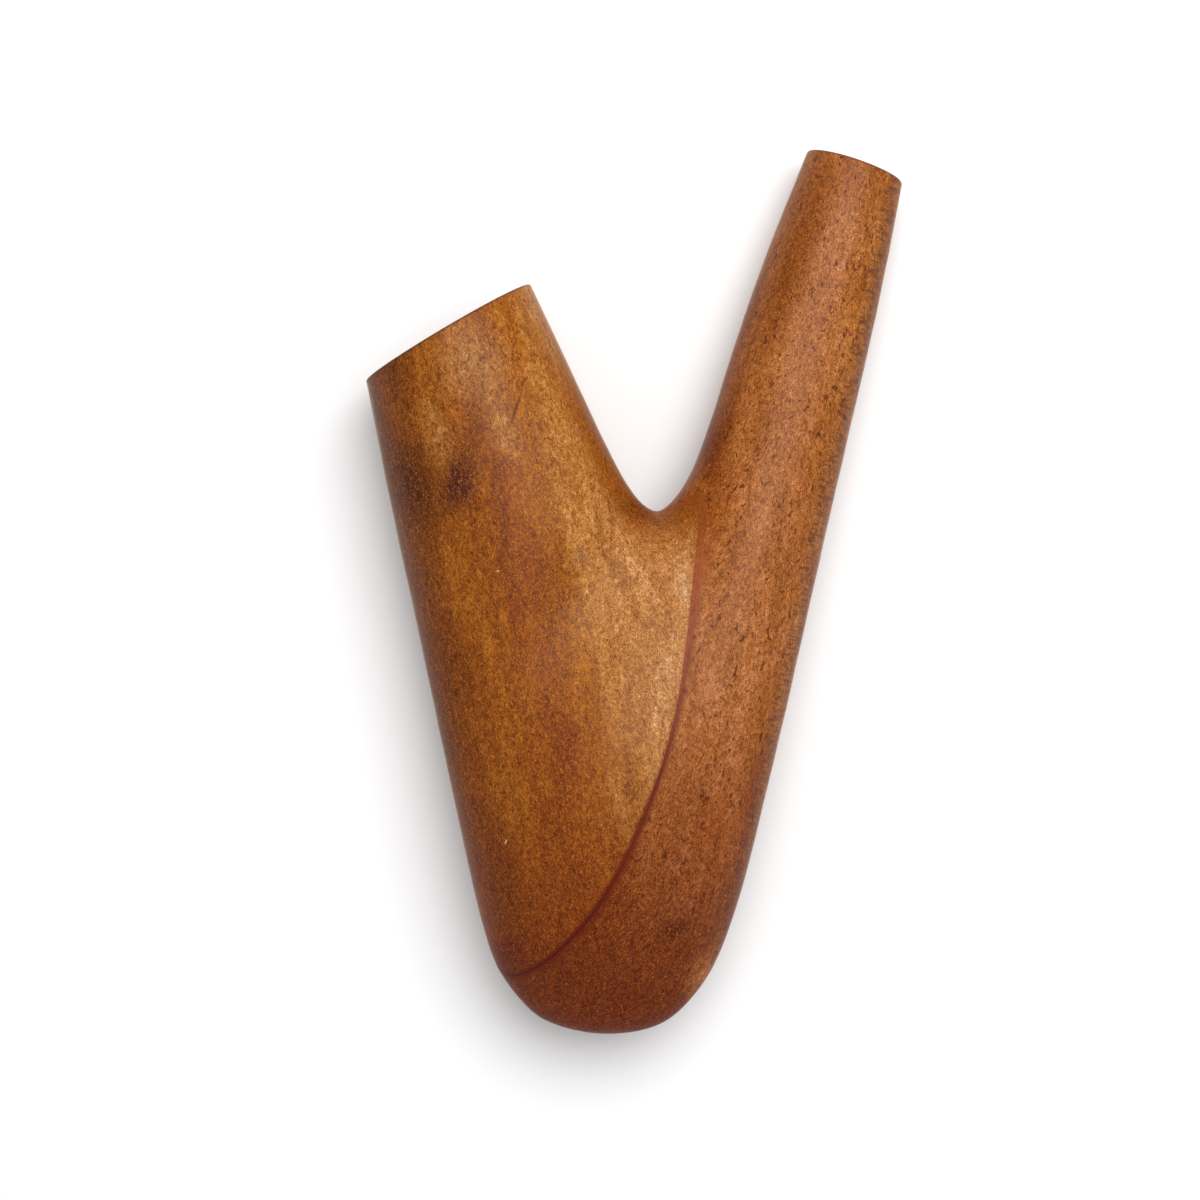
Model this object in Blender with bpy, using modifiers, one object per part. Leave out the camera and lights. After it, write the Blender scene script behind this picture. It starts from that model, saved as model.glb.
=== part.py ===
"""Compact V-shaped didgeridoo, carved from two blocks of wood that are glued on one slanted plane.

The instrument lies flat on its back. +Y points along the limbs towards their open ends, +Z up.
The origin is the centre of the footprint, on the surface that the instrument lies on.
A narrow limb holds the mouthpiece and a wide limb ends in the bell. One folded air column runs
down the narrow limb, turns in the toe and widens up the wide limb.
"""

import math

import bmesh
import bpy
import numpy as np
from mathutils import Matrix, Vector

MM = 0.001
ORIGIN = Vector((-0.04, 0.52, -0.14))  # centre of the footprint, in the millimetre sizes below

# One station of the outside: the plan points (x, y) of its outer and inner edge, the height of
# its middle above the table, and half its thickness. All in millimetres.
BELL_STATIONS = [
    ((-125.5, 155.0), (-73.0, 192.0), 36.0, 36.0),  # sawn off at the bell rim
    ((-117.5, 112.0), (-53.0, 147.0), 36.0, 36.0),
    ((-111.0, 82.0), (-40.5, 120.0), 36.0, 36.0),
    ((-104.0, 47.0), (-23.0, 83.0), 36.0, 36.0),
    ((-96.2, 11.0), (-7.2, 48.0), 36.5, 36.0),
]
MOUTH_STATIONS = [
    ((121.0, 222.0), (91.0, 232.0), 20.5, 20.5),  # sawn off at the mouthpiece rim
    ((115.5, 192.0), (76.5, 205.0), 20.5, 20.5),
    ((111.0, 164.0), (66.0, 172.0), 21.4, 21.2),
    ((104.2, 130.0), (52.7, 137.0), 24.0, 23.6),
    ((94.4, 88.0), (37.4, 91.0), 27.0, 26.6),
    ((84.2, 45.0), (24.4, 48.0), 29.6, 28.8),
]
# Where the limbs meet: the outer edges, and the crotch that both limbs share.
FORK_BELL_EDGE = (-88.3, -25.0)
FORK_MOUTH_EDGE = (75.2, 7.0)
CROTCH = (9.0, 31.5)
FORK_HEIGHT = 34.0
FORK_STEP = 2.0  # how far the bell limb's middle is above that height, and the mouth limb's below
FORK_BELL_HALF = 36.5
FORK_MOUTH_HALF = 32.0
FORK_SHOULDER = 0.66  # how full the shoulders either side of the crotch are
FORK_VALLEY = (16.0, 0.0, 35.0)  # x, y and half thickness of the shallow valley below the crotch
# Body stations below the fork: left edge, right edge, middle height, half thickness.
BODY_STATIONS = [
    ((-80.9, -60.0), (64.2, -41.0), 38.0, 38.6),
    ((-73.0, -97.0), (52.9, -88.0), 38.2, 38.2),
    ((-65.2, -133.0), (43.4, -128.0), 38.0, 33.0),
    ((-57.0, -160.0), (30.0, -163.0), 38.0, 18.5),
]
TOE_LEFT = (-40.0, -181.0)
TOE_LOW = (-12.0, -195.0)
TOE_RIGHT = (13.0, -181.5)
TOE_HEIGHT = 38.0

# The air column: (x, y, height, radius) down its centre line, from the mouthpiece rim to the bell rim.
AIR_COLUMN = [
    (91.75, 177.0, 20.7, 15.0),
    (77.0, 131.0, 24.0, 16.0),
    (61.0, 84.0, 27.2, 17.0),
    (46.0, 36.0, 31.0, 18.0),
    (31.0, -20.0, 35.5, 19.5),
    (20.0, -72.0, 37.5, 20.5),
    (15.0, -112.0, 38.0, 21.0),
    (3.5, -134.0, 38.0, 21.0),
    (-15.0, -141.0, 38.0, 21.0),
    (-32.5, -130.5, 38.0, 21.5),
    (-39.5, -105.0, 38.0, 23.0),
    (-42.0, -60.0, 38.0, 24.8),
    (-45.5, -12.0, 37.0, 26.0),
    (-54.5, 42.0, 36.3, 27.0),
    (-77.9, 106.2, 36.0, 28.5),
]
BORE_SIDES = 24
BORE_POINTS_PER_SPAN = 3
BORE_RUN_OUT = 14.0  # how far the bore cutter runs past each rim
MERGE_DISTANCE = 0.00001

# Rims: the saw cut's centre, the direction it faces in plan, and how far it leans back from upright.
MOUTH_RIM = ((91.75, 177.0, 20.7), (0.328, 0.945), 0.0)
BELL_RIM = ((-77.9, 106.2, 36.0), (-0.508, 0.861), 2.6)
SAW_SIZE = 120.0
LIP_DEPTH = 3.0  # the mouthpiece's bore widens over this depth, so that it sits softly on the lips
LIP_FLARE = 1.2

# The glued joint is the plane through the crotch, the left side of the toe and a point on the front.
JOINT_POINTS = ((9.4, 32.5, 35.5), (-57.0, -151.0, 38.0), (9.0, -73.0, 74.0))
GLUE_THICKNESS = 0.9
FACE_GAP = 0.3  # air between the glue line and each block
CUTTER_SIZE = 600.0

SUBDIVISIONS = 2
LIMB_SIDES = 8
BODY_SIDES = 2 * LIMB_SIDES

BELL_WOOD = (0.30, 0.13, 0.035, 1.0)
MOUTH_WOOD = (0.33, 0.13, 0.045, 1.0)
GLUE_COLOUR = (0.20, 0.035, 0.015, 1.0)
WOOD_ROUGHNESS = 0.45
GLUE_ROUGHNESS = 0.5


def metres(point):
    """Millimetres as drawn, in metres from the origin."""
    return (Vector(point) - ORIGIN) * MM


def clear_scene():
    for old in list(bpy.data.objects):
        bpy.data.objects.remove(old, do_unlink=True)


def new_collection(name):
    collection = bpy.data.collections.new(name)
    bpy.context.scene.collection.children.link(collection)
    return collection


def plain_material(name, colour, roughness):
    material = bpy.data.materials.new(name)
    material.use_nodes = True
    shader = material.node_tree.nodes["Principled BSDF"]
    shader.inputs["Base Color"].default_value = colour
    shader.inputs["Roughness"].default_value = roughness
    shader.inputs["Metallic"].default_value = 0.0
    return material


def through(targets):
    """Control points of the closed cubic curve that passes through the targets."""
    count = len(targets)
    weights = np.zeros((count, count))
    for i in range(count):
        weights[i, i] = 4 / 6
        weights[i, (i - 1) % count] += 1 / 6
        weights[i, (i + 1) % count] += 1 / 6
    return np.linalg.solve(weights, np.array(targets, float))


def oval_ring(outer, inner, height, half, sides):
    """Control points of an upright oval section, from its outer edge over the front to its inner edge."""
    outer, inner = np.array(outer), np.array(inner)
    centre, reach = (outer + inner) / 2, (outer - inner) / 2
    targets = []
    for i in range(sides):
        angle = 2 * math.pi * i / sides
        plan = centre + reach * math.cos(angle)
        targets.append((*plan, height + half * math.sin(angle)))
    return through(targets)


def fork_points():
    """Control points where the limbs meet: the front row from left edge to right edge, then the back."""
    bell = oval_ring(FORK_BELL_EDGE, CROTCH, FORK_HEIGHT + FORK_STEP, FORK_BELL_HALF, LIMB_SIDES)
    mouth = oval_ring(FORK_MOUTH_EDGE, CROTCH, FORK_HEIGHT - FORK_STEP, FORK_MOUTH_HALF, LIMB_SIDES)
    for ring in (bell, mouth):
        for shoulder in (3, 5):
            ring[shoulder][2] = FORK_HEIGHT + FORK_SHOULDER * (ring[shoulder][2] - FORK_HEIGHT)
    x, y, half = FORK_VALLEY
    front = [*bell[0:4], (x, y, FORK_HEIGHT + half), *mouth[3::-1]]
    back = [*bell[7:4:-1], (x, y, FORK_HEIGHT - half), *mouth[5:8]]
    return front, back


def toe_points(count):
    """Control points round the low end, on a curve through its left, lowest and right points."""
    left, low, right = (np.array(point) for point in (TOE_LEFT, TOE_LOW, TOE_RIGHT))
    pull = 2 * low - (left + right) / 2
    points = []
    for i in range(count):
        t = i / (count - 1)
        plan = (1 - t) ** 2 * left + 2 * t * (1 - t) * pull + t**2 * right
        points.append((*plan, TOE_HEIGHT))
    return points


def cage_mesh(name):
    """The coarse cage of the whole outside: two tubes that join into one body with a round toe."""
    mesh = bmesh.new()

    def add(points):
        return [mesh.verts.new(metres(p)) for p in points]

    def strip(first, second, closed=True):
        count = len(first)
        for i in range(count if closed else count - 1):
            j = (i + 1) % count
            mesh.faces.new((first[i], first[j], second[j], second[i]))

    crotch = add([(*CROTCH, FORK_HEIGHT)])[0]
    front, back = (add(row) for row in fork_points())
    bell_fork = [*front[0:4], crotch, *back[2::-1]]
    mouth_fork = [front[8], front[7], front[6], front[5], crotch, back[4], back[5], back[6]]
    for stations, fork in ((BELL_STATIONS, bell_fork), (MOUTH_STATIONS, mouth_fork)):
        rings = [add(oval_ring(*station, LIMB_SIDES)) for station in stations] + [fork]
        for first, second in zip(rings, rings[1:]):
            strip(first, second)
        mesh.faces.new(rings[0])
    for row, left, right in ((front, 3, 5), (back, 2, 4)):
        mesh.faces.new((crotch, row[left], row[left + 1], row[right]))
    rings = [[*front, *back[::-1]]]
    rings += [add(oval_ring(*station, BODY_SIDES)) for station in BODY_STATIONS]
    for first, second in zip(rings, rings[1:]):
        strip(first, second)
    last = rings[-1]
    front_row, back_row = last[1:LIMB_SIDES], last[:LIMB_SIDES:-1]
    toe = add(toe_points(len(front_row)))
    strip(front_row, toe, closed=False)
    strip(toe, back_row, closed=False)
    mesh.faces.new((last[0], front_row[0], toe[0], back_row[0]))
    mesh.faces.new((last[LIMB_SIDES], back_row[-1], toe[-1], front_row[-1]))
    bmesh.ops.recalc_face_normals(mesh, faces=mesh.faces)
    data = bpy.data.meshes.new(name)
    mesh.to_mesh(data)
    mesh.free()
    return data


def smooth_route(points, per_span):
    """Points on a smooth Catmull-Rom curve through the given ones, the radius smoothed with them."""
    points = np.array(points, float)
    ends = (2 * points[0] - points[1], 2 * points[-1] - points[-2])
    padded = np.vstack([ends[0], points, ends[1]])
    route = []
    for a, b, c, d in zip(padded, padded[1:], padded[2:], padded[3:]):
        bend = 2 * a - 5 * b + 4 * c - d
        twist = 3 * b - a - 3 * c + d
        for i in range(per_span):
            t = i / per_span
            route.append(0.5 * (2 * b + (c - a) * t + bend * t**2 + twist * t**3))
    route.append(points[-1])
    return route


def saw_frame(rim):
    """(centre, outward normal) of a rim's plane."""
    centre, facing, lean = rim
    flat = Vector((*facing, 0)).normalized()
    lean = math.radians(lean)
    return Vector(centre), flat * math.cos(lean) + Vector((0, 0, math.sin(lean)))


def run_out(rim, radius):
    """A bore point past a rim, straight out along the rim's normal."""
    centre, normal = saw_frame(rim)
    return (*(centre + normal * BORE_RUN_OUT), radius)


def inward(rim, depth, radius):
    """A bore point behind a rim, straight in along the rim's normal."""
    centre, normal = saw_frame(rim)
    return (*(centre - normal * depth), radius)


def air_column_mesh():
    """The closed solid of the air column, as a bevelled curve made into a mesh with its caps welded."""
    route = smooth_route(AIR_COLUMN, BORE_POINTS_PER_SPAN)
    mouth, bell = route[0][3], route[-1][3]
    route[0] = (*route[0][:3], mouth + LIP_FLARE)
    route.insert(1, inward(MOUTH_RIM, LIP_DEPTH, mouth))
    route.insert(0, run_out(MOUTH_RIM, mouth + LIP_FLARE))
    route.append(run_out(BELL_RIM, bell))
    curve = bpy.data.curves.new("air_column", "CURVE")
    curve.dimensions = "3D"
    curve.bevel_depth = MM
    curve.bevel_resolution = (BORE_SIDES - 4) // 2  # a round bevel has four sides more than twice this
    curve.use_fill_caps = True
    spline = curve.splines.new("POLY")
    spline.points.add(len(route) - 1)
    for point, (x, y, z, radius) in zip(spline.points, route):
        point.co = (*metres((x, y, z)), 1)
        point.radius = radius
    holder = bpy.data.objects.new("air_column_curve", curve)
    bpy.context.scene.collection.objects.link(holder)
    evaluated = holder.evaluated_get(bpy.context.evaluated_depsgraph_get())
    mesh = bpy.data.meshes.new_from_object(evaluated)
    bpy.data.objects.remove(holder)
    tidy = bmesh.new()
    tidy.from_mesh(mesh)
    bmesh.ops.remove_doubles(tidy, verts=tidy.verts, dist=MERGE_DISTANCE)
    bmesh.ops.recalc_face_normals(tidy, faces=tidy.faces)
    tidy.to_mesh(mesh)
    tidy.free()
    return mesh


def cutter(name, mesh, collection):
    made = bpy.data.objects.new(name, mesh)
    made.hide_render = True
    made.display_type = "WIRE"
    collection.objects.link(made)
    return made


def half_space(name, point, normal, size, collection):
    """A cube with one face on the plane through point, on the side that normal points to."""
    mesh = bpy.data.meshes.new(name)
    box = bmesh.new()
    bmesh.ops.create_cube(box, size=size * MM)
    box.to_mesh(mesh)
    box.free()
    made = cutter(name, mesh, collection)
    centre = metres(point) + Vector(normal) * size * MM / 2
    turn = Vector(normal).to_track_quat("Z", "Y").to_matrix().to_4x4()
    made.matrix_world = Matrix.Translation(centre) @ turn
    return made


def joint_normal():
    """Normal of the glued joint, pointing into the mouthpiece block."""
    crotch, toe, front = (Vector(point) for point in JOINT_POINTS)
    normal = (toe - crotch).cross(front - crotch).normalized()
    return normal if normal.x > 0 else -normal


def carved_part(name, material, cutters, collection):
    """One piece of the instrument: the whole outside, less every cutter."""
    part = bpy.data.objects.new(name, cage_mesh(name))
    collection.objects.link(part)
    part.data.materials.append(material)
    smooth = part.modifiers.new("rounding", "SUBSURF")
    smooth.levels = SUBDIVISIONS
    smooth.render_levels = SUBDIVISIONS
    for tool in cutters:
        cut = part.modifiers.new(f"less_{tool.name}", "BOOLEAN")
        cut.operation = "DIFFERENCE"
        cut.solver = "EXACT"
        cut.object = tool
    part.data.shade_smooth()
    return part


def build():
    clear_scene()
    parts = new_collection("didgeridoo")
    tools = new_collection("cutters")
    air = cutter("air_column", air_column_mesh(), tools)
    saws = [
        half_space(f"{name}_saw", *saw_frame(rim), SAW_SIZE, tools)
        for name, rim in (("mouth", MOUTH_RIM), ("bell", BELL_RIM))
    ]
    normal = joint_normal()
    joint = Vector(JOINT_POINTS[0])
    halves = {}
    beside_glue = GLUE_THICKNESS / 2
    for name, facing, offset in (
        ("bell_side", -normal, beside_glue),
        ("mouth_side", normal, beside_glue),
        ("beyond_bell_block", normal, -beside_glue - FACE_GAP),
        ("beyond_mouth_block", -normal, -beside_glue - FACE_GAP),
    ):
        halves[name] = half_space(name, joint + facing * offset, facing, CUTTER_SIZE, tools)
    shared = [*saws, air]
    bell_wood = plain_material("bell_wood", BELL_WOOD, WOOD_ROUGHNESS)
    mouth_wood = plain_material("mouthpiece_wood", MOUTH_WOOD, WOOD_ROUGHNESS)
    glue = plain_material("glue", GLUE_COLOUR, GLUE_ROUGHNESS)
    carved_part("bell_block", bell_wood, [*shared, halves["beyond_bell_block"]], parts)
    carved_part("mouthpiece_block", mouth_wood, [*shared, halves["beyond_mouth_block"]], parts)
    carved_part("glue_seam", glue, [*shared, halves["bell_side"], halves["mouth_side"]], parts)


build()
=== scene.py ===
"""Looks of the compact V-shaped didgeridoo: fine carved shapes, wood, glue line, studio and camera."""

import math

import bmesh
import bpy
import numpy as np
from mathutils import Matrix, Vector, noise


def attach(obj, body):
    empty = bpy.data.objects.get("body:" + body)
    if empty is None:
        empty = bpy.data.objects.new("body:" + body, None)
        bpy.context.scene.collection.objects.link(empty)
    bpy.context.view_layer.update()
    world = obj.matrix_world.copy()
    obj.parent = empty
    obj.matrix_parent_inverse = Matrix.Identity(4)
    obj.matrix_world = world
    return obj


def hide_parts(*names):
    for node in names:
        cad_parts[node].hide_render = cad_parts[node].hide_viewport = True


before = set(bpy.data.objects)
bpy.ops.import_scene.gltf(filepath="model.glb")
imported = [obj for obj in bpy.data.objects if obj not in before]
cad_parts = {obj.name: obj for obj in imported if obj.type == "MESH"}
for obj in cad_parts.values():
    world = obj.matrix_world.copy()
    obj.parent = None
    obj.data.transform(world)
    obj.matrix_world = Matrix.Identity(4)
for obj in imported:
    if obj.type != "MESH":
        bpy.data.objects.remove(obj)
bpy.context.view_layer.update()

MM = 0.001
ORIGIN = np.array((-0.04, 0.52, -0.14))  # centre of the footprint, in the millimetre sizes below

# Outside stations, from a rim down to the fork: (x, y) of the outer and inner edge, height of the
# middle and half the thickness, in millimetres. The first of each list is the rim itself.
BELL_STATIONS = [
    ((-112.0, 86.5), (-43.9, 126.5), 36.0, 36.0),
    ((-104.0, 47.0), (-23.0, 83.0), 36.0, 36.0),
    ((-96.2, 11.0), (-7.2, 48.0), 36.5, 36.0),
]
MOUTH_STATIONS = [
    ((111.9, 170.0), (72.1, 183.8), 20.7, 20.6),
    ((104.2, 130.0), (52.7, 137.0), 24.0, 23.6),
    ((94.4, 88.0), (37.4, 91.0), 27.0, 26.6),
    ((84.2, 45.0), (24.4, 48.0), 29.6, 28.8),
]
FORK_BELL_EDGE = (-88.3, -25.0)
FORK_MOUTH_EDGE = (75.2, 7.0)
CROTCH = (9.0, 31.5)
FORK_HEIGHT = 34.0
FORK_STEP = 2.0  # how far the bell side stands above the fork's height, and the mouthpiece side below
FORK_BELL_HALF = 36.5
FORK_MOUTH_HALF = 32.0
FORK_SHOULDER = 0.66  # share of their height that the shoulders beside the crotch keep
FORK_VALLEY = (16.0, 0.0, 35.0)  # x, y and half thickness of the shallow valley below the crotch
# Body stations below the fork: left edge, right edge, middle height, half thickness.
BODY_STATIONS = [
    ((-80.9, -60.0), (64.2, -41.0), 38.0, 38.6),
    ((-73.0, -97.0), (52.9, -88.0), 38.2, 38.2),
    ((-65.2, -133.0), (43.4, -128.0), 38.0, 33.0),
    ((-57.0, -160.0), (30.0, -163.0), 38.0, 18.5),
]
TOE_LEFT = (-40.0, -181.0)
TOE_LOW = (-12.0, -195.0)
TOE_RIGHT = (13.0, -181.5)
TOE_HEIGHT = 38.0
RING_SIDES = 8
SKIN_LEVELS = 4

# Rims: centre, facing in plan, lean back in degrees. Then how far their outer edge and the bore's lip
# are rounded, and where the rings between the two stand, as shares of the way in.
MOUTH_RIM = ((91.75, 177.0, 20.7), (0.328, 0.945), 0.0)
BELL_RIM = ((-77.9, 106.2, 36.0), (-0.508, 0.861), 2.6)
EDGE_ROUND = 1.1
LIP_ROUND = 1.3
ROUND_STEPS = 4
FACE_SHARES = (0.33, 0.67)

# Centre line of the air column and its radius, from the mouthpiece to the bell.
AIR_COLUMN = [
    (91.75, 177.0, 20.7, 15.0),
    (77.0, 131.0, 24.0, 16.0),
    (61.0, 84.0, 27.2, 17.0),
    (46.0, 36.0, 31.0, 18.0),
    (31.0, -20.0, 35.5, 19.5),
    (20.0, -72.0, 37.5, 20.5),
    (15.0, -112.0, 38.0, 21.0),
    (3.5, -134.0, 38.0, 21.0),
    (-15.0, -141.0, 38.0, 21.0),
    (-32.5, -130.5, 38.0, 21.5),
    (-39.5, -105.0, 38.0, 23.0),
    (-42.0, -60.0, 38.0, 24.8),
    (-45.5, -12.0, 37.0, 26.0),
    (-54.5, 42.0, 36.3, 27.0),
    (-77.9, 106.2, 36.0, 28.5),
]
BORE_STEP = 5.0
RIM_EASE = 8  # the bore turns square to each rim over one part in this many of its length

# The glued joint is the plane through these three points: crotch, left of the toe, front.
JOINT_POINTS = ((9.4, 32.5, 35.5), (-57.0, -151.0, 38.0), (9.0, -73.0, 74.0))
GLUE_THICKNESS = 0.9
HAIRLINE = 0.02
CUT_TOLERANCE = 1e-7  # metres

RIPPLE_DEPTH = 0.12
RIPPLE_LENGTH = 16.0
FINE_RIPPLE = 2.3  # how much closer the second, weaker ripple is
SHARP_ANGLE = 40.0

# How far the grain of each block leans over, in x per y.
BELL_GRAIN = -0.207
MOUTH_GRAIN = 0.226
ALONG_Y = (0.0, 1.0, 0.0)

FLOOR_RADIUS = 6.0
FLOOR_TONE = 0.86
SKY_STRENGTH = 0.60
LAMP_SIZE = 1.45
LAMP_POWER = 25.0
LAMP_DISTANCE = 1.6
LAMP_AZIMUTH = 63.0
LAMP_ELEVATION = 66.5
SENSOR = 36.0
LENS = 81.57
EYE = (-0.01479, -0.00494, 1.16014)


def metres(points):
    """Millimetre places in the shown frame, in metres."""
    return (np.array(points, float) - ORIGIN) * MM


def millimetres(verts):
    """Where the vertices of a mesh stand, in the millimetre sizes above."""
    return np.array([vert.co for vert in verts]) / MM + ORIGIN


# ---------------------------------------------------------------- outside


def through(targets):
    """Control points of the closed cubic curve that passes through the targets."""
    count = len(targets)
    weights = np.zeros((count, count))
    for i in range(count):
        weights[i, i] = 4 / 6
        weights[i, (i - 1) % count] += 1 / 6
        weights[i, (i + 1) % count] += 1 / 6
    return np.linalg.solve(weights, np.array(targets, float))


def oval(left, right, height, half, sides):
    """Control points of an upright oval section, from its left edge over the front and round the back."""
    left, right = np.array(left), np.array(right)
    centre, reach = (left + right) / 2, (left - right) / 2
    angles = [2 * math.pi * i / sides for i in range(sides)]
    return through([(*(centre + reach * math.cos(a)), height + half * math.sin(a)) for a in angles])


def rim_frame(rim):
    """Centre and outward normal of a rim."""
    centre, facing, lean = rim
    flat = np.array((*facing, 0.0))
    flat /= np.linalg.norm(flat)
    lean = math.radians(lean)
    return np.array(centre), flat * math.cos(lean) + np.array((0, 0, math.sin(lean)))


def onto_rim(points, rim):
    """The points slid along the limb onto the plane where the rim's edge rounding starts."""
    centre, normal = rim_frame(rim)
    flat = normal * (1, 1, 0)
    slide = ((centre - points) @ normal - EDGE_ROUND) / (flat @ normal)
    return points + slide[:, None] * flat


def fork_points():
    """The front row and the back row of the ring where both limbs join the body."""
    bell = oval(FORK_BELL_EDGE, CROTCH, FORK_HEIGHT + FORK_STEP, FORK_BELL_HALF, RING_SIDES)
    mouth = oval(FORK_MOUTH_EDGE, CROTCH, FORK_HEIGHT - FORK_STEP, FORK_MOUTH_HALF, RING_SIDES)
    for ring in (bell, mouth):
        for shoulder in (3, 5):
            ring[shoulder][2] = FORK_HEIGHT + FORK_SHOULDER * (ring[shoulder][2] - FORK_HEIGHT)
    x, y, half = FORK_VALLEY
    front = [*bell[0:4], (x, y, FORK_HEIGHT + half), *mouth[3::-1]]
    back = [*bell[7:4:-1], (x, y, FORK_HEIGHT - half), *mouth[5:8]]
    return front, back


def toe_points(count):
    """The row that closes the body, on a curve from TOE_LEFT over TOE_LOW to TOE_RIGHT."""
    points = []
    left, low, right = (np.array(p) for p in (TOE_LEFT, TOE_LOW, TOE_RIGHT))
    pull = 2 * low - (left + right) / 2
    for i in range(count):
        t = i / (count - 1)
        plan = (1 - t) ** 2 * left + 2 * t * (1 - t) * pull + t**2 * right
        points.append((*plan, TOE_HEIGHT))
    return points


def skin_cage():
    """The coarse cage of the outside, open at both rims."""
    mesh = bmesh.new()

    def add(points):
        return [mesh.verts.new(p) for p in metres(points)]

    def strip(first, second, closed=True):
        count = len(first)
        for i in range(count if closed else count - 1):
            j = (i + 1) % count
            mesh.faces.new((first[i], first[j], second[j], second[i]))

    crotch = add([(*CROTCH, FORK_HEIGHT)])[0]
    front, back = (add(row) for row in fork_points())
    bell_fork = [*front[0:4], crotch, *back[2::-1]]
    mouth_fork = [front[8], front[7], front[6], front[5], crotch, back[4], back[5], back[6]]
    for stations, fork, rim in (
        (BELL_STATIONS, bell_fork, BELL_RIM),
        (MOUTH_STATIONS, mouth_fork, MOUTH_RIM),
    ):
        rows = [oval(*station, RING_SIDES) for station in stations]
        rows[0] = onto_rim(rows[0], rim)
        rings = [add(row) for row in rows] + [fork]
        for first, second in zip(rings, rings[1:]):
            strip(first, second)
    for row, left, right in ((front, 3, 5), (back, 2, 4)):
        mesh.faces.new((crotch, row[left], row[left + 1], row[right]))
    rings = [[*front, *back[::-1]]]
    rings += [add(oval(*station, 2 * RING_SIDES)) for station in BODY_STATIONS]
    for first, second in zip(rings, rings[1:]):
        strip(first, second)
    last = rings[-1]
    front_row, back_row = last[1:RING_SIDES], last[:RING_SIDES:-1]
    toe = add(toe_points(len(front_row)))
    strip(front_row, toe, closed=False)
    strip(toe, back_row, closed=False)
    mesh.faces.new((last[0], front_row[0], toe[0], back_row[0]))
    mesh.faces.new((last[RING_SIDES], back_row[-1], toe[-1], front_row[-1]))
    bmesh.ops.recalc_face_normals(mesh, faces=mesh.faces)
    data = bpy.data.meshes.new("skin_cage")
    mesh.to_mesh(data)
    mesh.free()
    return data


def smooth_skin():
    """A bmesh of the subdivided outside, still open at both rims."""
    holder = bpy.data.objects.new("skin_cage", skin_cage())
    bpy.context.scene.collection.objects.link(holder)
    rounding = holder.modifiers.new("rounding", "SUBSURF")
    rounding.levels = SKIN_LEVELS
    rounding.render_levels = SKIN_LEVELS
    evaluated = holder.evaluated_get(bpy.context.evaluated_depsgraph_get())
    smooth = bpy.data.meshes.new_from_object(evaluated)
    bpy.data.objects.remove(holder)
    mesh = bmesh.new()
    mesh.from_mesh(smooth)
    return mesh


def ripple(mesh):
    """Shallow hand-rasped unevenness, cut into the surface and fading out at the rims."""
    mesh.normal_update()
    rims = [rim_frame(rim) for rim in (MOUTH_RIM, BELL_RIM)]
    for vert in mesh.verts:
        place = np.array(vert.co) / MM + ORIGIN
        inside = min((centre - place) @ normal for centre, normal in rims)
        fade = min(1.0, max(0.0, inside / RIPPLE_LENGTH))
        at = Vector(place) / RIPPLE_LENGTH
        height = noise.noise(at) + 0.5 * noise.noise(at * FINE_RIPPLE + Vector((7.0, 3.0, 1.0)))
        vert.co += vert.normal * ((height - 1.0) * fade * RIPPLE_DEPTH * MM)


# ---------------------------------------------------------------- rims and bore

OUTSIDE, INSIDE = 0, 1  # material slots


def open_loops(mesh):
    """The two open edges of the skin as ordered loops, the mouthpiece's first."""
    edges = {e for e in mesh.edges if e.is_boundary}
    loops = []
    while edges:
        edge = edges.pop()
        loop = [edge.verts[0], edge.verts[1]]
        while True:
            step = next((e for e in loop[-1].link_edges if e in edges), None)
            if step is None:
                break
            edges.discard(step)
            loop.append(step.other_vert(loop[-1]))
        loops.append(loop[:-1] if loop[0] == loop[-1] else loop)
    return sorted(loops, key=lambda loop: -loop[0].co.x)


def between(a, b, c, d, share):
    """The place at a share of the way from b to c, on the smooth curve through a, b, c and d."""
    curve = 2 * b + (c - a) * share
    curve = curve + (2 * a - 5 * b + 4 * c - d) * share**2
    curve = curve + (3 * b - a - 3 * c + d) * share**3
    return 0.5 * curve


def route():
    """Smooth centre line of the air column, as (points, radii)."""
    knots = np.array(AIR_COLUMN, float)
    knots = np.vstack([2 * knots[0] - knots[1], knots, 2 * knots[-1] - knots[-2]])
    line = []
    for a, b, c, d in zip(knots, knots[1:], knots[2:], knots[3:]):
        steps = max(2, round(np.linalg.norm((c - b)[:3]) / BORE_STEP))
        line += [between(a, b, c, d, i / steps) for i in range(steps)]
    line.append(knots[-2])
    line = np.array(line)
    return line[:, :3], line[:, 3]


def route_axes(points):
    """Two axes across the air column at each point. At its ends they lie in the planes of the rims."""
    ahead = np.gradient(points, axis=0)
    ahead /= np.linalg.norm(ahead, axis=1)[:, None]
    mouth_normal, bell_normal = rim_frame(MOUTH_RIM)[1], rim_frame(BELL_RIM)[1]
    last = len(points) - 1
    for i in range(len(points)):
        near_mouth = max(0.0, 1 - i / last * RIM_EASE)
        near_bell = max(0.0, 1 - (1 - i / last) * RIM_EASE)
        blended = ahead[i] * (1 - near_mouth - near_bell)
        blended = blended - mouth_normal * near_mouth + bell_normal * near_bell
        ahead[i] = blended / np.linalg.norm(blended)
    up = np.array((0.0, 0.0, 1.0))
    firsts = [up - ahead[0] * (up @ ahead[0])]
    for direction in ahead[1:]:
        moved = firsts[-1] - direction * (firsts[-1] @ direction)
        firsts.append(moved / np.linalg.norm(moved))
    seconds = [np.cross(direction, first) for direction, first in zip(ahead, firsts)]
    return firsts, seconds


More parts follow.
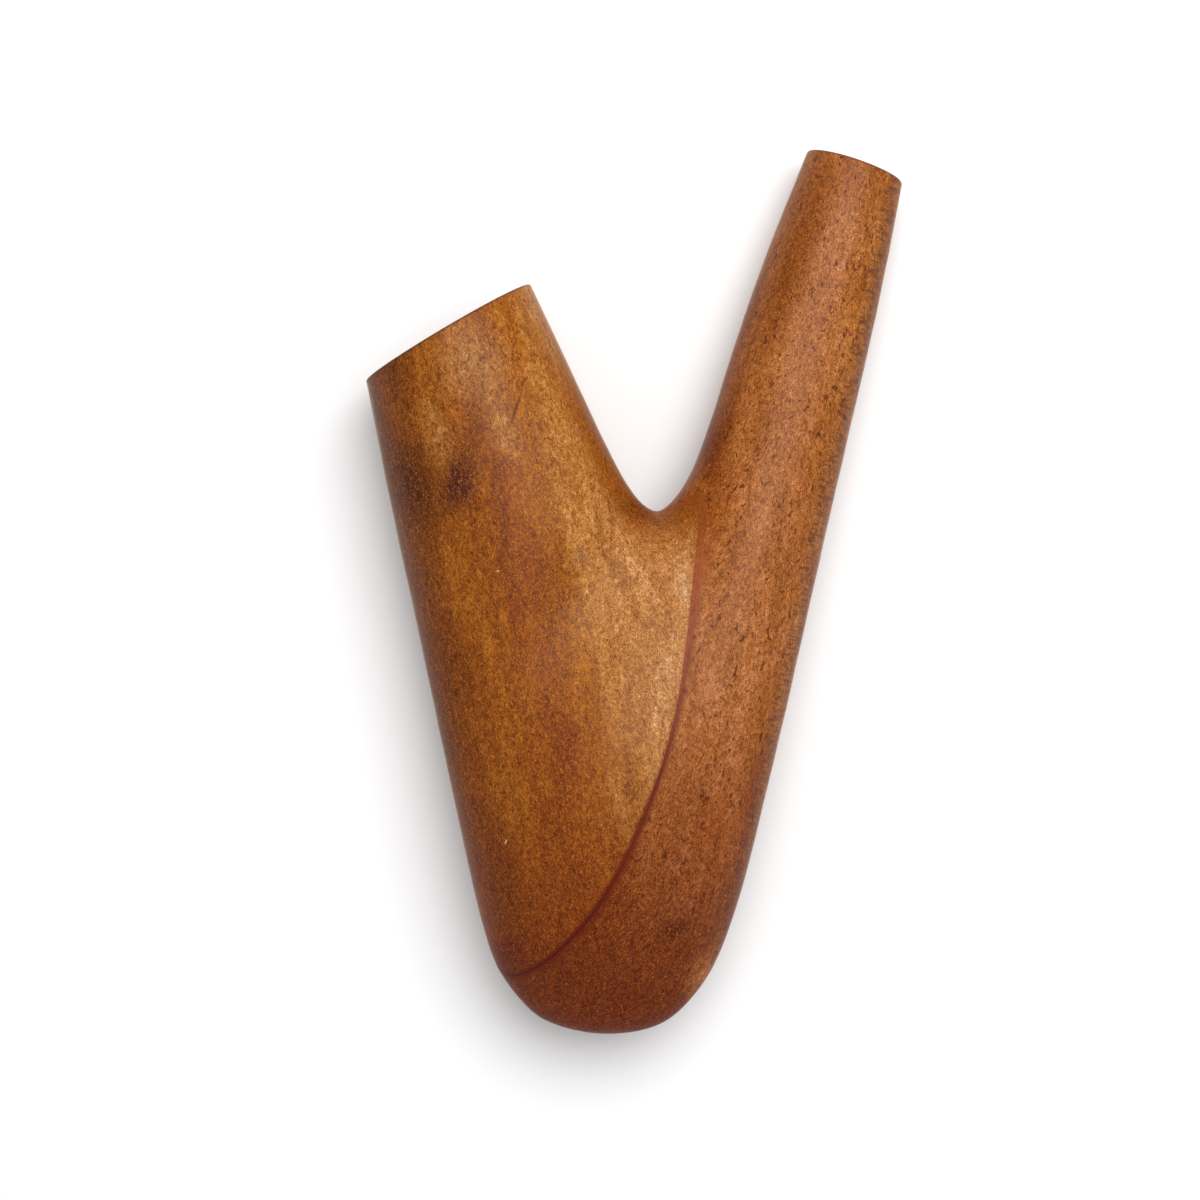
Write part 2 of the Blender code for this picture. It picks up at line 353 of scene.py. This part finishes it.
def aligned(loop, centre, first, second):
    """The loop started near the first axis and run towards the second, with the angles of its verts."""
    spokes = millimetres(loop) - centre
    angles = np.arctan2(spokes @ second, spokes @ first)
    steps = (np.diff(angles) + math.pi) % (2 * math.pi) - math.pi
    if steps.sum() < 0:
        loop, angles = loop[::-1], angles[::-1]
    start = int(np.argmin(np.abs(angles)))
    loop = loop[start:] + loop[:start]
    return loop, np.unwrap(np.roll(angles, -start))


def add_ring(mesh, places):
    return [mesh.verts.new(place) for place in metres(places)]


def bridge(mesh, first, second, slot):
    """Joins two rings with faces of one material slot."""
    for i in range(len(first)):
        j = (i + 1) % len(first)
        face = mesh.faces.new((first[i], first[j], second[j], second[i]))
        face.material_index = slot
        face.smooth = True


def rim_rings(mesh, loop, rim, radius):
    """Rings over the rounded edge, across the end face and round the lip, as far as the bore."""
    centre, normal = rim_frame(rim)
    spokes = millimetres(loop) - centre
    spokes -= (spokes @ normal)[:, None] * normal
    reach = np.linalg.norm(spokes, axis=1)[:, None]
    spokes /= reach
    rings = [loop]
    quarter = [math.pi / 2 * i / ROUND_STEPS for i in range(ROUND_STEPS + 1)]
    for angle in quarter[1:]:
        inset = EDGE_ROUND * (1 - math.cos(angle))
        raised = normal * EDGE_ROUND * (math.sin(angle) - 1)
        rings.append(add_ring(mesh, centre + spokes * (reach - inset) + raised))
    lip = radius + LIP_ROUND
    for share in FACE_SHARES:
        across = (reach - EDGE_ROUND) * (1 - share) + lip * share
        rings.append(add_ring(mesh, centre + spokes * across))
    for angle in quarter:
        across = radius + LIP_ROUND * (1 - math.sin(angle))
        down = LIP_ROUND * (1 - math.cos(angle))
        rings.append(add_ring(mesh, centre + spokes * across - normal * down))
    return rings


def close_with_bore(mesh):
    """Adds eased rims, flat end faces and the folded bore, which closes the skin into one solid."""
    points, radii = route()
    firsts, seconds = route_axes(points)
    mouth_loop, bell_loop = open_loops(mesh)
    mouth_loop, mouth_angles = aligned(mouth_loop, rim_frame(MOUTH_RIM)[0], firsts[0], seconds[0])
    bell_loop, bell_angles = aligned(bell_loop, rim_frame(BELL_RIM)[0], firsts[-1], seconds[-1])
    mouth_rings = rim_rings(mesh, mouth_loop, MOUTH_RIM, radii[0])
    bell_rings = rim_rings(mesh, bell_loop, BELL_RIM, radii[-1])
    bore = [mouth_rings[-1]]
    last = len(points) - 1
    for i in range(1, last):
        angles = mouth_angles * (1 - i / last) + bell_angles * (i / last)
        spokes = np.cos(angles)[:, None] * firsts[i] + np.sin(angles)[:, None] * seconds[i]
        bore.append(add_ring(mesh, points[i] + spokes * radii[i]))
    bore.append(bell_rings[-1])
    for rings in (mouth_rings, bell_rings):
        for k, (first, second) in enumerate(zip(rings, rings[1:])):
            bridge(mesh, first, second, OUTSIDE if k < ROUND_STEPS else INSIDE)
    for first, second in zip(bore, bore[1:]):
        bridge(mesh, first, second, INSIDE)
    bmesh.ops.recalc_face_normals(mesh, faces=mesh.faces)


# ---------------------------------------------------------------- the three pieces


def joint_plane():
    """A point of the joint in metres, and its normal towards the mouthpiece block."""
    crotch, toe, front = (Vector(point) for point in JOINT_POINTS)
    normal = (toe - crotch).cross(front - crotch).normalized()
    if normal.x < 0:
        normal.negate()
    return Vector(metres(crotch)), normal


def keep_side(mesh, point, normal):
    """Keeps what lies behind the plane, and closes the cut."""
    geometry = [*mesh.verts, *mesh.edges, *mesh.faces]
    cut = bmesh.ops.bisect_plane(
        mesh, geom=geometry, dist=CUT_TOLERANCE, plane_co=point, plane_no=normal, clear_outer=True
    )
    edges = [e for e in cut["geom_cut"] if isinstance(e, bmesh.types.BMEdge)]
    filled = bmesh.ops.triangle_fill(mesh, edges=edges, use_beauty=True, normal=normal)
    for face in filled["geom"]:
        if isinstance(face, bmesh.types.BMFace):
            face.material_index = INSIDE
            face.smooth = False


def piece(name, whole, cuts, materials):
    """One named piece: what the cuts leave of the whole."""
    mesh = whole.copy()
    for point, normal in cuts:
        keep_side(mesh, point, normal)
    bmesh.ops.recalc_face_normals(mesh, faces=mesh.faces)
    data = bpy.data.meshes.new(name)
    mesh.to_mesh(data)
    mesh.free()
    data.set_sharp_from_angle(angle=math.radians(SHARP_ANGLE))
    made = bpy.data.objects.new(name, data)
    bpy.context.scene.collection.objects.link(made)
    for material in materials:
        data.materials.append(material)
    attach(made, "root")
    return made


# ---------------------------------------------------------------- materials


class Graph:
    """Short names for the shader nodes of one material."""

    def __init__(self, name):
        self.material = bpy.data.materials.new(name)
        self.material.use_nodes = True
        self.nodes = self.material.node_tree.nodes
        self.links = self.material.node_tree.links
        self.shader = self.nodes["Principled BSDF"]
        place = self.nodes.new("ShaderNodeTexCoord").outputs["Object"]
        self.place = self.vector("SCALE", place, scale=1 / MM)

    def plug(self, socket, value):
        if isinstance(value, bpy.types.NodeSocket):
            self.links.new(value, socket)
        else:
            socket.default_value = value

    def vector(self, operation, first, second=None, scale=None):
        node = self.nodes.new("ShaderNodeVectorMath")
        node.operation = operation
        self.plug(node.inputs[0], first)
        if second is not None:
            self.plug(node.inputs[1], second)
        if scale is not None:
            self.plug(node.inputs["Scale"], scale)
        return node.outputs["Value" if operation in ("LENGTH", "DOT_PRODUCT") else "Vector"]

    def maths(self, operation, first, second=0.0, clamp=False):
        node = self.nodes.new("ShaderNodeMath")
        node.operation = operation
        node.use_clamp = clamp
        self.plug(node.inputs[0], first)
        self.plug(node.inputs[1], second)
        return node.outputs[0]

    def along(self, angle, stretch, deep=1.0):
        """Coordinates turned so that y runs along the grain, and squeezed there by stretch.

        angle is how far the grain leans from y towards x, in degrees; deep squeezes through the part.
        """
        node = self.nodes.new("ShaderNodeMapping")
        node.vector_type = "TEXTURE"
        node.inputs["Rotation"].default_value = (0, 0, -math.radians(angle))
        node.inputs["Scale"].default_value = (1, stretch, deep)
        self.plug(node.inputs["Vector"], self.place)
        return node.outputs[0]

    def noise(self, vector, size, detail=3.0, roughness=0.5, distortion=0.0):
        node = self.nodes.new("ShaderNodeTexNoise")
        node.inputs["Scale"].default_value = 1 / size
        node.inputs["Detail"].default_value = detail
        node.inputs["Roughness"].default_value = roughness
        node.inputs["Distortion"].default_value = distortion
        self.plug(node.inputs["Vector"], vector)
        return node.outputs[0]

    def noise_colour(self, vector, size, detail):
        node = self.nodes.new("ShaderNodeTexNoise")
        node.inputs["Scale"].default_value = 1 / size
        node.inputs["Detail"].default_value = detail
        self.plug(node.inputs["Vector"], vector)
        return node.outputs["Color"]

    def fit(self, value, low, high, to_low=0.0, to_high=1.0, smooth=True):
        """The value carried from the range low to high over to the range to_low to to_high."""
        node = self.nodes.new("ShaderNodeMapRange")
        node.interpolation_type = "SMOOTHSTEP" if smooth else "LINEAR"
        for name, setting in zip(("From Min", "From Max", "To Min", "To Max"), (low, high, to_low, to_high)):
            node.inputs[name].default_value = setting
        self.plug(node.inputs["Value"], value)
        return node.outputs[0]

    def mix(self, share, first, second, blend="MIX"):
        node = self.nodes.new("ShaderNodeMix")
        node.data_type = "RGBA"
        node.blend_type = blend
        self.plug(node.inputs["Factor"], share)
        self.plug(node.inputs[6], first)
        self.plug(node.inputs[7], second)
        return node.outputs[2]

    def tinted(self, share, colour, tint):
        """The colour, with a share of it multiplied by the tint."""
        return self.mix(share, colour, self.mix(1.0, colour, tint, "MULTIPLY"))

    def spot(self, centre, radii, angle=0.0, place=None):
        """1 at the centre and 0 at the radii, in millimetres along axes turned about Z."""
        node = self.nodes.new("ShaderNodeMapping")
        node.vector_type = "TEXTURE"
        node.inputs["Location"].default_value = centre
        node.inputs["Rotation"].default_value = (0, 0, math.radians(angle))
        node.inputs["Scale"].default_value = radii
        self.plug(node.inputs["Vector"], place or self.place)
        return self.fit(self.vector("LENGTH", node.outputs[0]), 1.0, 0.0)

    def spots(self, colour, table, place, breakup=None):
        """Paints each (centre, radii, angle, colour, strength) of the table over the colour."""
        for centre, radii, angle, paint, strength in table:
            share = self.maths("MULTIPLY", self.spot(centre, radii, angle, place), strength)
            if breakup is not None:
                share = self.maths("MULTIPLY", share, breakup, clamp=True)
            colour = self.mix(share, colour, paint)
        return colour

    def bands(self, value, stops):
        """A smooth run of colours over a value in millimetres, from (value, colour) pairs."""
        low, high = stops[0][0], stops[-1][0]
        node = self.nodes.new("ShaderNodeValToRGB")
        ramp = node.color_ramp
        ramp.interpolation = "EASE"
        for i, (at, paint) in enumerate(stops):
            where = (at - low) / (high - low)
            element = ramp.elements[i] if i < 2 else ramp.elements.new(where)
            element.position = where
            element.color = paint
        self.plug(node.inputs[0], self.fit(value, low, high, smooth=False))
        return node.outputs[0]

    def plane_distance(self, point, normal):
        """Signed distance in millimetres from a plane, in the shown frame."""
        offset = self.vector("SUBTRACT", self.place, tuple(point))
        return self.vector("DOT_PRODUCT", offset, tuple(normal))

    def joint_distance(self):
        """Distance from the middle of the glued joint, growing into the mouthpiece block."""
        point, normal = joint_plane()
        return self.plane_distance(point / MM, normal)

    def bump(self, height, distance, strength=1.0, normal=None):
        node = self.nodes.new("ShaderNodeBump")
        node.inputs["Strength"].default_value = strength
        node.inputs["Distance"].default_value = distance * MM
        self.plug(node.inputs["Height"], height)
        if normal is not None:
            self.plug(node.inputs["Normal"], normal)
        return node.outputs[0]


def srgb(*display):
    """A colour given as three display values from 0 to 255, in linear light."""
    shares = [value / 255 for value in display]
    return (*(((share + 0.055) / 1.055) ** 2.4 if share > 0.04 else share / 12.92 for share in shares), 1.0)


# Factors that turn a wood colour into its lighter and darker flecks, and the oil's over everything.
LIGHT_TINT = (1.62, 2.05, 3.6, 1.0)
DARK_TINT = (0.50, 0.38, 0.20, 1.0)
OIL_TINT = (0.92, 0.85, 0.64, 1.0)
SHEEN_TINT = (1.0, 0.80, 0.58, 1.0)
PORE = srgb(64, 22, 2)
# Painted shade: dark brown for a thin outline along the rounded rim edges.
PAINTED_RIM_SHADE = srgb(58, 24, 6)
FIBRE = srgb(206, 134, 60)


def rim_planes():
    """Point in millimetres and outward normal of both rims, mouthpiece first, in the shown frame."""
    return [(centre - ORIGIN, normal) for centre, normal in (rim_frame(MOUTH_RIM), rim_frame(BELL_RIM))]


def carved_wood(name, slope, stops, toe, patches, marks):
    """Oiled, hand-worked wood.

    slope is how far the grain leans over, in x per y; stops are its broad bands across the grain; toe is
    the darker tone of the low end; patches are soft and marks are crisp.
    """
    g = Graph(name)
    lean = math.degrees(math.atan(slope))
    swirl = g.vector("SUBTRACT", g.noise_colour(g.place, 22, 2), (0.5, 0.5, 0.5))
    wavy = g.vector("ADD", g.place, g.vector("SCALE", swirl, scale=14))
    across = g.vector("DOT_PRODUCT", wavy, (1.0, -slope, 0.0))
    colour = g.bands(across, stops)

    streak = g.noise(g.along(lean, 7), 7.0, 3, 0.55, 0.4)
    colour = g.tinted(g.fit(streak, 0.44, 0.70, 0.0, 0.36), colour, LIGHT_TINT)
    colour = g.tinted(g.fit(streak, 0.50, 0.28, 0.0, 0.46), colour, DARK_TINT)
    down = g.vector("DOT_PRODUCT", wavy, ALONG_Y)
    colour = g.mix(g.fit(down, -30, -178), colour, toe)

    mottle = g.noise(g.along(lean, 1.7), 2.6, 3, 0.6, 0.8)
    breakup = g.fit(mottle, 0.25, 0.62, 0.45, 1.25)
    ragged = g.vector("ADD", g.place, g.vector("SCALE", swirl, scale=5))
    colour = g.spots(colour, patches, ragged, breakup)
    colour = g.tinted(g.fit(mottle, 0.52, 0.70, 0.0, 0.42), colour, LIGHT_TINT)
    colour = g.tinted(g.fit(mottle, 0.50, 0.32, 0.0, 0.66), colour, DARK_TINT)

    fleck = g.noise(g.along(lean, 1.8), 0.72, 2, 0.55, 1.6)
    colour = g.tinted(g.fit(fleck, 0.48, 0.66, 0.0, 1.0), colour, LIGHT_TINT)
    colour = g.tinted(g.fit(fleck, 0.50, 0.32, 0.0, 1.0), colour, DARK_TINT)
    fibres = g.fit(g.noise(g.along(lean, 2.4), 0.62, 2, 0.5, 1.8), 0.54, 0.66)
    fibres = g.maths("MULTIPLY", fibres, g.fit(down, -190, -60, 0.34, 0.44))
    colour = g.mix(fibres, colour, FIBRE)
    pores = g.noise(g.along(lean, 3.5), 1.5, 2, 0.5)
    colour = g.mix(g.fit(pores, 0.64, 0.78, 0.0, 0.6), colour, PORE)
    colour = g.spots(colour, marks, g.place)
    return g, colour, fleck, mottle, pores


def finish_wood(g, colour, fleck, mottle, pores):
    """Painted shade along the rim edges, satin gloss and the fine relief of worked grain."""
    # Painted shade: the rounded edge at each rim is darkened into a thin dark outline.
    for point, normal in rim_planes():
        edge = g.fit(g.plane_distance(point, normal), -1.3, -0.2, 0.0, 0.6)
        colour = g.mix(edge, colour, PAINTED_RIM_SHADE)
    g.plug(g.shader.inputs["Base Color"], g.mix(1.0, colour, OIL_TINT, "MULTIPLY"))
    gloss = g.maths("ADD", g.fit(mottle, 0.3, 0.7, 0.36, 0.48), g.fit(fleck, 0.3, 0.7, -0.04, 0.06))
    g.plug(g.shader.inputs["Roughness"], gloss)
    g.shader.inputs["Specular IOR Level"].default_value = 0.13
    grazing = g.nodes.new("ShaderNodeLayerWeight")
    grazing.inputs["Blend"].default_value = 0.5
    g.plug(g.shader.inputs["Sheen Weight"], g.fit(grazing.outputs["Facing"], 0.70, 0.98, 0.0, 0.45))
    g.shader.inputs["Sheen Roughness"].default_value = 0.3
    g.shader.inputs["Sheen Tint"].default_value = SHEEN_TINT
    relief = g.bump(fleck, 0.035)
    relief = g.bump(g.fit(pores, 0.60, 0.74, 1.0, 0.0), 0.06, 0.6, relief)
    g.plug(g.shader.inputs["Normal"], g.bump(mottle, 0.12, 0.5, relief))
    return g.material


def bell_wood():
    """Golden-brown block, paler towards the joint, with a dark V under the bell."""
    stops = [
        (-96, srgb(84, 34, 0)),
        (-84, srgb(106, 48, 2)),
        (-66, srgb(124, 64, 6)),
        (-54, srgb(122, 60, 4)),
        (-43, srgb(120, 56, 4)),
        (-31, srgb(134, 72, 8)),
        (-21, srgb(150, 92, 34)),
        (-6, srgb(157, 101, 46)),
        (10, srgb(158, 101, 48)),
    ]
    patches = [
        # Partly paler wood and partly a painted highlight: the broad pale patch on the bell limb's crest.
        ((-66, 92, 72), (22, 26, 30), 14, srgb(146, 95, 44), 0.9),
        ((-13, 58, 48), (15, 70, 36), 25, srgb(130, 66, 2), 1.2),
        ((-54, 66, 70), (10, 26, 24), 18, srgb(150, 98, 44), 0.8),
        ((-80, 62, 68), (10, 22, 26), 12, srgb(138, 88, 38), 0.85),
        ((-32, 56, 68), (12, 38, 24), 17, srgb(154, 98, 44), 0.7),
        ((-99, 92, 60), (10, 26, 26), 10, srgb(84, 40, 2), 0.8),
        ((-90, 42, 60), (16, 34, 30), 22, srgb(66, 22, 0), 0.95),
        ((-71, 42, 71), (12, 20, 22), -14, srgb(66, 22, 14), 1.1),
        ((-66, 62, 71), (8, 28, 20), -6, srgb(98, 46, 8), 0.8),
        ((-88, 10, 58), (7, 24, 20), 14, srgb(96, 44, 10), 0.55),
        ((20, 37, 44), (46, 27, 42), -8, srgb(134, 70, 10), 1.3),
        ((2, 31, 44), (26, 9, 30), -20, srgb(96, 42, 4), 0.8),
        ((-56, -116, 60), (10, 46, 30), 11, srgb(88, 34, 0), 0.7),
        ((-28, -62, 74), (9, 22, 20), 8, srgb(110, 44, 0), 0.65),
        ((-36, -92, 72), (9, 12, 20), 10, srgb(98, 38, 0), 0.7),
        ((-20, -84, 76), (6, 34, 16), -14, srgb(142, 74, 4), 0.5),
        ((-52, -84, 66), (12, 24, 16), 12, srgb(132, 74, 14), 0.6),
        ((-18, -66, 76), (12, 36, 16), -10, srgb(126, 60, 6), 0.55),
        # Partly paler wood and partly a painted highlight: the two pale patches beside the joint on the
        # body's crest.
        ((12, -36, 68), (9, 36, 16), -12, srgb(170, 122, 74), 0.6),
        ((20, 2, 62), (6, 16, 16), 0, srgb(172, 126, 82), 0.8),
        ((-46, -8, 70), (8, 24, 20), 12, srgb(116, 52, 4), 0.6),
        ((-22, 12, 66), (5, 9, 14), 0, srgb(112, 66, 40), 0.6),
        ((-52, -150, 50), (18, 14, 26), 30, srgb(84, 18, 0), 1.0),
    ]
    dark, bright = srgb(52, 16, 8), srgb(236, 214, 176)
    marks = [
        ((-48.5, 72, 69.5), (1.3, 12, 8), -18, srgb(84, 32, 12), 0.85),
        ((-45.5, 83, 69), (1.2, 4, 8), -24, srgb(78, 26, 10), 0.9),
        ((-62, 97, 72), (0.8, 7, 8), 26, srgb(96, 50, 24), 0.6),
        ((-49.7, -4.9, 70), (0.8, 0.9, 3), 0, dark, 0.9),
        ((-50.7, -9.8, 70), (1.0, 1.0, 3), 0, dark, 0.8),
        ((-34.1, -13.4, 68), (0.9, 5.0, 6), 4, dark, 0.6),
        ((-24.8, -58.9, 74), (1.8, 1.6, 4), 0, dark, 0.6),
        ((-55.6, 6.7, 71), (0.55, 0.55, 3), 0, bright, 0.8),
        ((-52.7, -102.4, 65), (0.5, 1.7, 3), -25, bright, 0.8),
    ]
    toe = srgb(106, 41, 0)
    g, colour, fleck, mottle, pores = carved_wood("bell_wood", BELL_GRAIN, stops, toe, patches, marks)
    low = g.fit(g.vector("DOT_PRODUCT", g.place, ALONG_Y), -30, -110, 0.1, 0.9)
    stain = g.fit(g.joint_distance(), -1.4 - GLUE_THICKNESS / 2, -GLUE_THICKNESS / 2)
    colour = g.mix(g.maths("MULTIPLY", stain, low), colour, srgb(90, 20, 0))
    return finish_wood(g, colour, fleck, mottle, pores)


def mouth_wood():
    """Redder, mottled block, with short ripple marks along its outer edge and a stain beside the joint."""
    stops = [
        (12, srgb(112, 50, 6)),
        (20, srgb(126, 62, 15)),
        (30, srgb(141, 79, 31)),
        (46, srgb(144, 84, 40)),
        (58, srgb(144, 83, 38)),
        (66, srgb(138, 77, 24)),
        (72, srgb(130, 70, 8)),
    ]
    patches = [
        ((30, 50, 44), (9, 40, 26), -18, srgb(96, 36, 2), 1.0),
        ((92, 168, 42), (30, 22, 40), -18, srgb(126, 66, 22), 0.6),
        ((70, 160, 44), (12, 36, 30), -18, srgb(112, 54, 10), 0.7),
        ((20, 36, 44), (32, 28, 42), -8, srgb(138, 72, 20), 1.1),
        # Partly paler wood and partly a painted highlight: the pale patch beside the joint below the crotch.
        ((24, 10, 60), (9, 22, 20), 0, srgb(154, 94, 50), 0.8),
        ((62, 128, 44), (13, 62, 30), -18, srgb(110, 52, 4), 0.85),
        ((74, 108, 46), (8, 60, 20), -18, srgb(148, 88, 46), 0.6),
        ((17, -138, 62), (12, 8, 14), 20, srgb(76, 20, 0), 0.9),
        ((46, -84, 54), (7, 44, 20), -16, srgb(108, 42, 2), 0.8),
        ((30, -98, 66), (14, 24, 20), -14, srgb(124, 56, 10), 0.6),
        ((28, -60, 66), (10, 22, 16), -14, srgb(146, 78, 30), 0.5),
        ((50, -48, 56), (8, 26, 20), -14, srgb(124, 62, 10), 0.7),
        # Painted light: this paler patch lightens the toe's right flank, the side turned to the lamp.
        ((30, -158, 44), (14, 20, 24), -30, srgb(150, 84, 34), 0.9),
    ]
    dark, bright = srgb(46, 14, 4), srgb(214, 170, 128)
    marks = [
        ((84.6, 95.3, 47), (0.9, 2.2, 4), -18, dark, 0.9),
        ((81.2, 81.5, 49), (1.5, 2.0, 4), 30, dark, 0.75),
        ((83.5, 80.0, 47), (2.6, 0.8, 4), -14, dark, 0.6),
        ((23.2, -19.8, 66), (1.5, 1.6, 3), 0, dark, 1.0),
        ((65.6, -12.7, 50), (0.5, 4.0, 4), -18, bright, 0.6),
        ((50, 78, 50), (0.8, 2.4, 4), -30, dark, 0.6),
    ]
    toe = srgb(96, 31, 0)
    g, colour, fleck, mottle, pores = carved_wood("mouthpiece_wood", MOUTH_GRAIN, stops, toe, patches, marks)
    across = g.vector("DOT_PRODUCT", g.place, (1.0, -MOUTH_GRAIN, 0.0))
    ridge = g.maths("MULTIPLY", g.fit(across, 61, 67), g.noise(g.along(105, 5, 5), 1.2, 2, 0.5, 0.6))
    colour = g.mix(g.fit(ridge, 0.47, 0.62, 0.0, 0.7), colour, srgb(88, 38, 4))
    specks = g.noise(g.along(13, 2.2), 1.9, 2, 0.5, 0.8)
    colour = g.mix(g.fit(specks, 0.62, 0.69, 0.0, 0.85), colour, srgb(76, 28, 4))
    near = g.joint_distance()
    high = g.fit(g.vector("DOT_PRODUCT", g.place, ALONG_Y), -60, 20)
    reach = g.maths("ADD", g.maths("MULTIPLY", high, 0.8), 2.0 + GLUE_THICKNESS / 2)
    stain = g.maths("DIVIDE", g.maths("SUBTRACT", reach, near), 2.0, clamp=True)
    below_crotch = g.fit(g.vector("DOT_PRODUCT", g.place, (0.25, 1.0, 0.0)), 33, 14, 0.0, 0.85)
    stain_colour = g.mix(high, srgb(92, 24, 0), srgb(148, 78, 46))
    colour = g.mix(g.maths("MULTIPLY", stain, below_crotch), colour, stain_colour)
    return finish_wood(g, colour, fleck, mottle, pores)


def bore_wood():
    """Raw wood of the end faces, the bore and the faces of the joint."""
    g = Graph("bore_wood")
    rings = g.noise(g.along(0, 6), 2.0, 4, 0.6)
    colour = g.mix(g.fit(rings, 0.3, 0.7), srgb(96, 48, 12), srgb(150, 92, 40))
    pores = g.noise(g.along(0, 1), 0.7, 2, 0.5)
    colour = g.mix(g.fit(pores, 0.6, 0.75, 0.0, 0.7), colour, PORE)
    g.plug(g.shader.inputs["Base Color"], colour)
    g.plug(g.shader.inputs["Roughness"], g.fit(rings, 0.2, 0.8, 0.6, 0.8))
    g.plug(g.shader.inputs["Normal"], g.bump(rings, 0.1, 0.5))
    return g.material


def glue():
    """Dark red glue, browner towards the crotch."""
    g = Graph("glue")
    tone = g.noise(g.place, 1.6, 3, 0.6)
    stops = [
        (-150, srgb(84, 18, 0)),
        (-80, srgb(100, 28, 4)),
        (-20, srgb(136, 62, 32)),
        (10, srgb(148, 78, 40)),
        (24, srgb(138, 70, 20)),
    ]
    colour = g.bands(g.vector("DOT_PRODUCT", g.place, ALONG_Y), stops)
    colour = g.tinted(g.fit(tone, 0.35, 0.65, 0.0, 0.5), colour, DARK_TINT)
    colour = g.spots(colour, [((23.2, -19.8, 66), (1.5, 1.6, 3), 0, srgb(46, 14, 4), 1.0)], g.place)
    g.plug(g.shader.inputs["Base Color"], colour)
    g.plug(g.shader.inputs["Roughness"], g.fit(tone, 0.3, 0.7, 0.35, 0.5))
    g.shader.inputs["Specular IOR Level"].default_value = 0.13
    return g.material


# ---------------------------------------------------------------- studio


def studio():
    """A plain pale floor under one soft lamp and an even sky."""
    ground = bpy.data.meshes.new("floor")
    flat = bmesh.new()
    bmesh.ops.create_circle(flat, cap_ends=True, segments=96, radius=FLOOR_RADIUS)
    flat.to_mesh(ground)
    flat.free()
    floor = bpy.data.objects.new("floor", ground)
    bpy.context.scene.collection.objects.link(floor)
    paint = bpy.data.materials.new("floor_paint")
    paint.use_nodes = True
    shader = paint.node_tree.nodes["Principled BSDF"]
    shader.inputs["Base Color"].default_value = (FLOOR_TONE, FLOOR_TONE, FLOOR_TONE, 1)
    shader.inputs["Roughness"].default_value = 0.9
    shader.inputs["Specular IOR Level"].default_value = 0.0
    ground.materials.append(paint)

    world = bpy.data.worlds.new("studio")
    world.use_nodes = True
    sky = world.node_tree.nodes["Background"]
    sky.inputs["Color"].default_value = (1, 1, 1, 1)
    sky.inputs["Strength"].default_value = SKY_STRENGTH
    bpy.context.scene.world = world

    lamp = bpy.data.lights.new("softbox", "AREA")
    lamp.shape = "DISK"
    lamp.size = LAMP_SIZE
    lamp.energy = LAMP_POWER
    softbox = bpy.data.objects.new("softbox", lamp)
    azimuth, elevation = math.radians(LAMP_AZIMUTH), math.radians(LAMP_ELEVATION)
    softbox.location = (
        LAMP_DISTANCE * math.cos(elevation) * math.cos(azimuth),
        LAMP_DISTANCE * math.cos(elevation) * math.sin(azimuth),
        LAMP_DISTANCE * math.sin(elevation),
    )
    softbox.rotation_euler = (-softbox.location).to_track_quat("-Z", "Y").to_euler()
    bpy.context.scene.collection.objects.link(softbox)
    bpy.context.scene.view_settings.view_transform = "Standard"


def camera():
    """Looks straight down."""
    lens = bpy.data.cameras.new("camera")
    lens.sensor_width = SENSOR
    lens.lens = LENS
    lens.clip_end = 20.0
    eye = bpy.data.objects.new("camera", lens)
    eye.location = EYE
    bpy.context.scene.collection.objects.link(eye)
    bpy.context.scene.camera = eye


def build():
    """The three pieces, cut from one whole along the joint, and the studio around them."""
    whole = smooth_skin()
    ripple(whole)
    close_with_bore(whole)
    point, normal = joint_plane()
    half = GLUE_THICKNESS / 2 * MM
    gap = half + HAIRLINE * MM
    inner = bore_wood()

    bell_cuts = [(point - normal * gap, normal)]
    bell = piece("bell_block_fine", whole, bell_cuts, [bell_wood(), inner])
    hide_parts("bell_block")

    mouth_cuts = [(point + normal * gap, -normal)]
    mouth = piece("mouthpiece_block_fine", whole, mouth_cuts, [mouth_wood(), inner])
    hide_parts("mouthpiece_block")

    seam_cuts = [(point + normal * half, normal), (point - normal * half, -normal)]
    seam = piece("glue_line", whole, seam_cuts, [glue(), inner])
    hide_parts("glue_seam")

    whole.free()
    studio()
    camera()


build()
